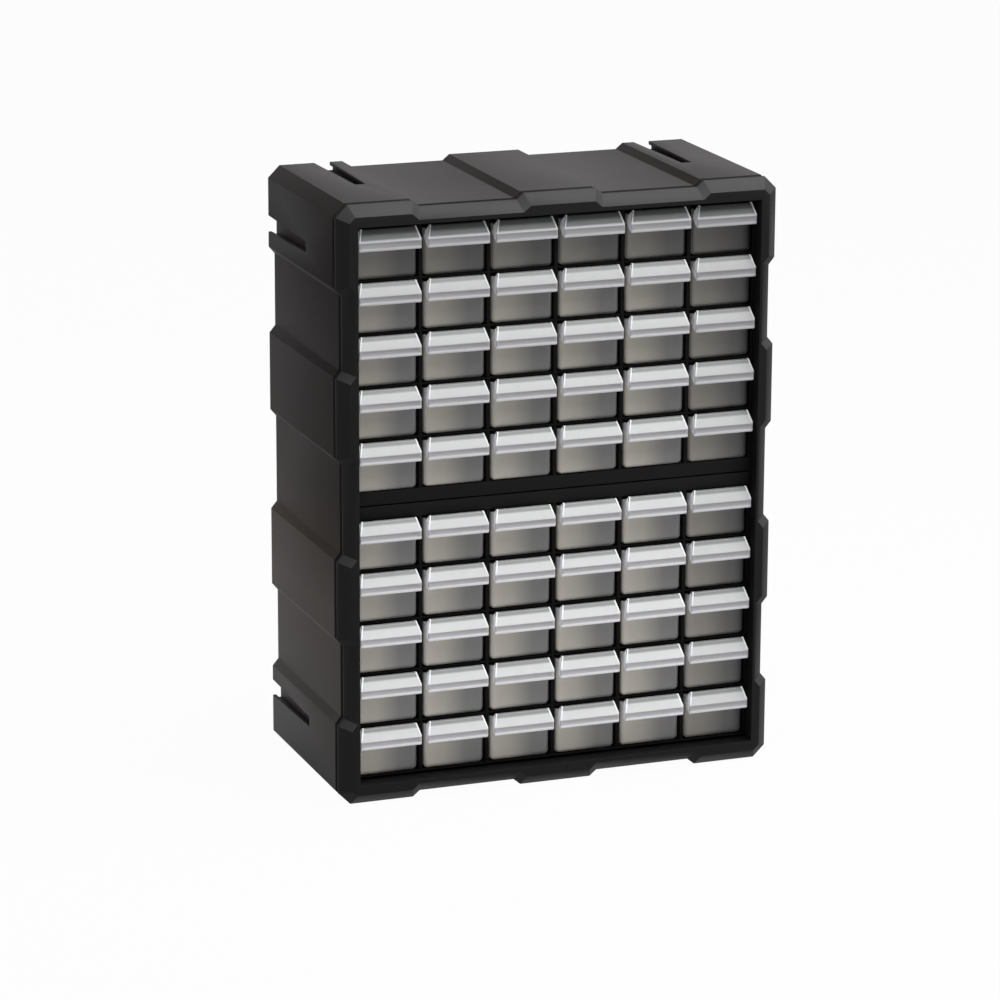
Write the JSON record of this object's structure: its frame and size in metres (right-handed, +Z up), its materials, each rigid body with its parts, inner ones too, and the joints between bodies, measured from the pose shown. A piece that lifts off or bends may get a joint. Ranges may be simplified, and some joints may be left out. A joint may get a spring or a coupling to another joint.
{
  "type": "parts bin cabinet",
  "caption": "Upright moulded cabinet with a stepped chamfered case, a plain middle band and a grid of small frosted drawers with hooked pulls that slide out of the front.",
  "frame": {"origin": "centre of the cabinet's footprint, on the surface that it stands on", "axes": "+X to the right as seen from the front, -Y out of the front where the drawers open, +Z up"},
  "size_m": [0.38, 0.186, 0.5],
  "materials": {
    "case_black": "fine moulded texture, satin",
    "inner_black": "moulded, matte",
    "drawer_frosted": "translucent natural polypropylene, frosted"
  },
  "bodies": {
    "cabinet": {"outer_case": "case_black", "front_frame": "case_black", "back_panel": "case_black", "centre_rail": "inner_black", "shelves": "inner_black", "uprights": "inner_black"},
    "drawer_row_08_column_1": {"drawer_row_08_column_1": "drawer_frosted"},
    "drawer_row_07_column_1": {"drawer_row_07_column_1": "drawer_frosted"},
    "drawer_row_06_column_1": {"drawer_row_06_column_1": "drawer_frosted"},
    "drawer_row_05_column_1": {"drawer_row_05_column_1": "drawer_frosted"},
    "drawer_row_04_column_1": {"drawer_row_04_column_1": "drawer_frosted"},
    "drawer_row_03_column_1": {"drawer_row_03_column_1": "drawer_frosted"},
    "drawer_row_02_column_1": {"drawer_row_02_column_1": "drawer_frosted"},
    "drawer_row_01_column_1": {"drawer_row_01_column_1": "drawer_frosted"},
    "drawers_rows_09_10_column_1": {"drawers_rows_09_10_column_1": "drawer_frosted"},
    "drawer_row_08_column_2": {"drawer_row_08_column_2": "drawer_frosted"},
    "drawer_row_07_column_2": {"drawer_row_07_column_2": "drawer_frosted"},
    "drawer_row_06_column_2": {"drawer_row_06_column_2": "drawer_frosted"},
    "drawer_row_05_column_2": {"drawer_row_05_column_2": "drawer_frosted"},
    "drawer_row_04_column_2": {"drawer_row_04_column_2": "drawer_frosted"},
    "drawer_row_03_column_2": {"drawer_row_03_column_2": "drawer_frosted"},
    "drawer_row_02_column_2": {"drawer_row_02_column_2": "drawer_frosted"},
    "drawer_row_01_column_2": {"drawer_row_01_column_2": "drawer_frosted"},
    "drawers_rows_09_10_column_2": {"drawers_rows_09_10_column_2": "drawer_frosted"},
    "drawer_row_08_column_3": {"drawer_row_08_column_3": "drawer_frosted"},
    "drawer_row_07_column_3": {"drawer_row_07_column_3": "drawer_frosted"},
    "drawer_row_06_column_3": {"drawer_row_06_column_3": "drawer_frosted"},
    "drawer_row_05_column_3": {"drawer_row_05_column_3": "drawer_frosted"},
    "drawer_row_04_column_3": {"drawer_row_04_column_3": "drawer_frosted"},
    "drawer_row_03_column_3": {"drawer_row_03_column_3": "drawer_frosted"},
    "drawer_row_02_column_3": {"drawer_row_02_column_3": "drawer_frosted"},
    "drawer_row_01_column_3": {"drawer_row_01_column_3": "drawer_frosted"},
    "drawers_rows_09_10_column_3": {"drawers_rows_09_10_column_3": "drawer_frosted"},
    "drawer_row_08_column_4": {"drawer_row_08_column_4": "drawer_frosted"},
    "drawer_row_07_column_4": {"drawer_row_07_column_4": "drawer_frosted"},
    "drawer_row_06_column_4": {"drawer_row_06_column_4": "drawer_frosted"},
    "drawer_row_05_column_4": {"drawer_row_05_column_4": "drawer_frosted"},
    "drawer_row_04_column_4": {"drawer_row_04_column_4": "drawer_frosted"},
    "drawer_row_03_column_4": {"drawer_row_03_column_4": "drawer_frosted"},
    "drawer_row_02_column_4": {"drawer_row_02_column_4": "drawer_frosted"},
    "drawer_row_01_column_4": {"drawer_row_01_column_4": "drawer_frosted"},
    "drawers_rows_09_10_column_4": {"drawers_rows_09_10_column_4": "drawer_frosted"},
    "drawer_row_08_column_5": {"drawer_row_08_column_5": "drawer_frosted"},
    "drawer_row_07_column_5": {"drawer_row_07_column_5": "drawer_frosted"},
    "drawer_row_06_column_5": {"drawer_row_06_column_5": "drawer_frosted"},
    "drawer_row_05_column_5": {"drawer_row_05_column_5": "drawer_frosted"},
    "drawer_row_04_column_5": {"drawer_row_04_column_5": "drawer_frosted"},
    "drawer_row_03_column_5": {"drawer_row_03_column_5": "drawer_frosted"},
    "drawer_row_02_column_5": {"drawer_row_02_column_5": "drawer_frosted"},
    "drawer_row_01_column_5": {"drawer_row_01_column_5": "drawer_frosted"},
    "drawers_rows_09_10_column_5": {"drawers_rows_09_10_column_5": "drawer_frosted"},
    "drawer_row_08_column_6": {"drawer_row_08_column_6": "drawer_frosted"},
    "drawer_row_07_column_6": {"drawer_row_07_column_6": "drawer_frosted"},
    "drawer_row_06_column_6": {"drawer_row_06_column_6": "drawer_frosted"},
    "drawer_row_05_column_6": {"drawer_row_05_column_6": "drawer_frosted"},
    "drawer_row_04_column_6": {"drawer_row_04_column_6": "drawer_frosted"},
    "drawer_row_03_column_6": {"drawer_row_03_column_6": "drawer_frosted"},
    "drawer_row_02_column_6": {"drawer_row_02_column_6": "drawer_frosted"},
    "drawer_row_01_column_6": {"drawer_row_01_column_6": "drawer_frosted"},
    "drawers_rows_09_10_column_6": {"drawers_rows_09_10_column_6": "drawer_frosted"}
  },
  "joints": [
    {"name": "slide_row_08_column_1", "type": "slide", "parent": "cabinet", "child": "drawer_row_08_column_1", "axis": [0, -1, 0], "range_m": [0, 0.125]},
    {"name": "slide_row_07_column_1", "type": "slide", "parent": "cabinet", "child": "drawer_row_07_column_1", "axis": [0, -1, 0], "range_m": [0, 0.125]},
    {"name": "slide_row_06_column_1", "type": "slide", "parent": "cabinet", "child": "drawer_row_06_column_1", "axis": [0, -1, 0], "range_m": [0, 0.125]},
    {"name": "slide_row_05_column_1", "type": "slide", "parent": "cabinet", "child": "drawer_row_05_column_1", "axis": [0, -1, 0], "range_m": [0, 0.125]},
    {"name": "slide_row_04_column_1", "type": "slide", "parent": "cabinet", "child": "drawer_row_04_column_1", "axis": [0, -1, 0], "range_m": [0, 0.125]},
    {"name": "slide_row_03_column_1", "type": "slide", "parent": "cabinet", "child": "drawer_row_03_column_1", "axis": [0, -1, 0], "range_m": [0, 0.125]},
    {"name": "slide_row_02_column_1", "type": "slide", "parent": "cabinet", "child": "drawer_row_02_column_1", "axis": [0, -1, 0], "range_m": [0, 0.125]},
    {"name": "slide_row_01_column_1", "type": "slide", "parent": "cabinet", "child": "drawer_row_01_column_1", "axis": [0, -1, 0], "range_m": [0, 0.125]},
    {"name": "slide_rows_09_10_column_1", "type": "slide", "parent": "cabinet", "child": "drawers_rows_09_10_column_1", "axis": [0, -1, 0], "range_m": [0, 0.125]},
    {"name": "slide_row_08_column_2", "type": "slide", "parent": "cabinet", "child": "drawer_row_08_column_2", "axis": [0, -1, 0], "range_m": [0, 0.125]},
    {"name": "slide_row_07_column_2", "type": "slide", "parent": "cabinet", "child": "drawer_row_07_column_2", "axis": [0, -1, 0], "range_m": [0, 0.125]},
    {"name": "slide_row_06_column_2", "type": "slide", "parent": "cabinet", "child": "drawer_row_06_column_2", "axis": [0, -1, 0], "range_m": [0, 0.125]},
    {"name": "slide_row_05_column_2", "type": "slide", "parent": "cabinet", "child": "drawer_row_05_column_2", "axis": [0, -1, 0], "range_m": [0, 0.125]},
    {"name": "slide_row_04_column_2", "type": "slide", "parent": "cabinet", "child": "drawer_row_04_column_2", "axis": [0, -1, 0], "range_m": [0, 0.125]},
    {"name": "slide_row_03_column_2", "type": "slide", "parent": "cabinet", "child": "drawer_row_03_column_2", "axis": [0, -1, 0], "range_m": [0, 0.125]},
    {"name": "slide_row_02_column_2", "type": "slide", "parent": "cabinet", "child": "drawer_row_02_column_2", "axis": [0, -1, 0], "range_m": [0, 0.125]},
    {"name": "slide_row_01_column_2", "type": "slide", "parent": "cabinet", "child": "drawer_row_01_column_2", "axis": [0, -1, 0], "range_m": [0, 0.125]},
    {"name": "slide_rows_09_10_column_2", "type": "slide", "parent": "cabinet", "child": "drawers_rows_09_10_column_2", "axis": [0, -1, 0], "range_m": [0, 0.125]},
    {"name": "slide_row_08_column_3", "type": "slide", "parent": "cabinet", "child": "drawer_row_08_column_3", "axis": [0, -1, 0], "range_m": [0, 0.125]},
    {"name": "slide_row_07_column_3", "type": "slide", "parent": "cabinet", "child": "drawer_row_07_column_3", "axis": [0, -1, 0], "range_m": [0, 0.125]},
    {"name": "slide_row_06_column_3", "type": "slide", "parent": "cabinet", "child": "drawer_row_06_column_3", "axis": [0, -1, 0], "range_m": [0, 0.125]},
    {"name": "slide_row_05_column_3", "type": "slide", "parent": "cabinet", "child": "drawer_row_05_column_3", "axis": [0, -1, 0], "range_m": [0, 0.125]},
    {"name": "slide_row_04_column_3", "type": "slide", "parent": "cabinet", "child": "drawer_row_04_column_3", "axis": [0, -1, 0], "range_m": [0, 0.125]},
    {"name": "slide_row_03_column_3", "type": "slide", "parent": "cabinet", "child": "drawer_row_03_column_3", "axis": [0, -1, 0], "range_m": [0, 0.125]},
    {"name": "slide_row_02_column_3", "type": "slide", "parent": "cabinet", "child": "drawer_row_02_column_3", "axis": [0, -1, 0], "range_m": [0, 0.125]},
    {"name": "slide_row_01_column_3", "type": "slide", "parent": "cabinet", "child": "drawer_row_01_column_3", "axis": [0, -1, 0], "range_m": [0, 0.125]},
    {"name": "slide_rows_09_10_column_3", "type": "slide", "parent": "cabinet", "child": "drawers_rows_09_10_column_3", "axis": [0, -1, 0], "range_m": [0, 0.125]},
    {"name": "slide_row_08_column_4", "type": "slide", "parent": "cabinet", "child": "drawer_row_08_column_4", "axis": [0, -1, 0], "range_m": [0, 0.125]},
    {"name": "slide_row_07_column_4", "type": "slide", "parent": "cabinet", "child": "drawer_row_07_column_4", "axis": [0, -1, 0], "range_m": [0, 0.125]},
    {"name": "slide_row_06_column_4", "type": "slide", "parent": "cabinet", "child": "drawer_row_06_column_4", "axis": [0, -1, 0], "range_m": [0, 0.125]},
    {"name": "slide_row_05_column_4", "type": "slide", "parent": "cabinet", "child": "drawer_row_05_column_4", "axis": [0, -1, 0], "range_m": [0, 0.125]},
    {"name": "slide_row_04_column_4", "type": "slide", "parent": "cabinet", "child": "drawer_row_04_column_4", "axis": [0, -1, 0], "range_m": [0, 0.125]},
    {"name": "slide_row_03_column_4", "type": "slide", "parent": "cabinet", "child": "drawer_row_03_column_4", "axis": [0, -1, 0], "range_m": [0, 0.125]},
    {"name": "slide_row_02_column_4", "type": "slide", "parent": "cabinet", "child": "drawer_row_02_column_4", "axis": [0, -1, 0], "range_m": [0, 0.125]},
    {"name": "slide_row_01_column_4", "type": "slide", "parent": "cabinet", "child": "drawer_row_01_column_4", "axis": [0, -1, 0], "range_m": [0, 0.125]},
    {"name": "slide_rows_09_10_column_4", "type": "slide", "parent": "cabinet", "child": "drawers_rows_09_10_column_4", "axis": [0, -1, 0], "range_m": [0, 0.125]},
    {"name": "slide_row_08_column_5", "type": "slide", "parent": "cabinet", "child": "drawer_row_08_column_5", "axis": [0, -1, 0], "range_m": [0, 0.125]},
    {"name": "slide_row_07_column_5", "type": "slide", "parent": "cabinet", "child": "drawer_row_07_column_5", "axis": [0, -1, 0], "range_m": [0, 0.125]},
    {"name": "slide_row_06_column_5", "type": "slide", "parent": "cabinet", "child": "drawer_row_06_column_5", "axis": [0, -1, 0], "range_m": [0, 0.125]},
    {"name": "slide_row_05_column_5", "type": "slide", "parent": "cabinet", "child": "drawer_row_05_column_5", "axis": [0, -1, 0], "range_m": [0, 0.125]},
    {"name": "slide_row_04_column_5", "type": "slide", "parent": "cabinet", "child": "drawer_row_04_column_5", "axis": [0, -1, 0], "range_m": [0, 0.125]},
    {"name": "slide_row_03_column_5", "type": "slide", "parent": "cabinet", "child": "drawer_row_03_column_5", "axis": [0, -1, 0], "range_m": [0, 0.125]},
    {"name": "slide_row_02_column_5", "type": "slide", "parent": "cabinet", "child": "drawer_row_02_column_5", "axis": [0, -1, 0], "range_m": [0, 0.125]},
    {"name": "slide_row_01_column_5", "type": "slide", "parent": "cabinet", "child": "drawer_row_01_column_5", "axis": [0, -1, 0], "range_m": [0, 0.125]},
    {"name": "slide_rows_09_10_column_5", "type": "slide", "parent": "cabinet", "child": "drawers_rows_09_10_column_5", "axis": [0, -1, 0], "range_m": [0, 0.125]},
    {"name": "slide_row_08_column_6", "type": "slide", "parent": "cabinet", "child": "drawer_row_08_column_6", "axis": [0, -1, 0], "range_m": [0, 0.125]},
    {"name": "slide_row_07_column_6", "type": "slide", "parent": "cabinet", "child": "drawer_row_07_column_6", "axis": [0, -1, 0], "range_m": [0, 0.125]},
    {"name": "slide_row_06_column_6", "type": "slide", "parent": "cabinet", "child": "drawer_row_06_column_6", "axis": [0, -1, 0], "range_m": [0, 0.125]},
    {"name": "slide_row_05_column_6", "type": "slide", "parent": "cabinet", "child": "drawer_row_05_column_6", "axis": [0, -1, 0], "range_m": [0, 0.125]},
    {"name": "slide_row_04_column_6", "type": "slide", "parent": "cabinet", "child": "drawer_row_04_column_6", "axis": [0, -1, 0], "range_m": [0, 0.125]},
    {"name": "slide_row_03_column_6", "type": "slide", "parent": "cabinet", "child": "drawer_row_03_column_6", "axis": [0, -1, 0], "range_m": [0, 0.125]},
    {"name": "slide_row_02_column_6", "type": "slide", "parent": "cabinet", "child": "drawer_row_02_column_6", "axis": [0, -1, 0], "range_m": [0, 0.125]},
    {"name": "slide_row_01_column_6", "type": "slide", "parent": "cabinet", "child": "drawer_row_01_column_6", "axis": [0, -1, 0], "range_m": [0, 0.125]},
    {"name": "slide_rows_09_10_column_6", "type": "slide", "parent": "cabinet", "child": "drawers_rows_09_10_column_6", "axis": [0, -1, 0], "range_m": [0, 0.125]}
  ]
}
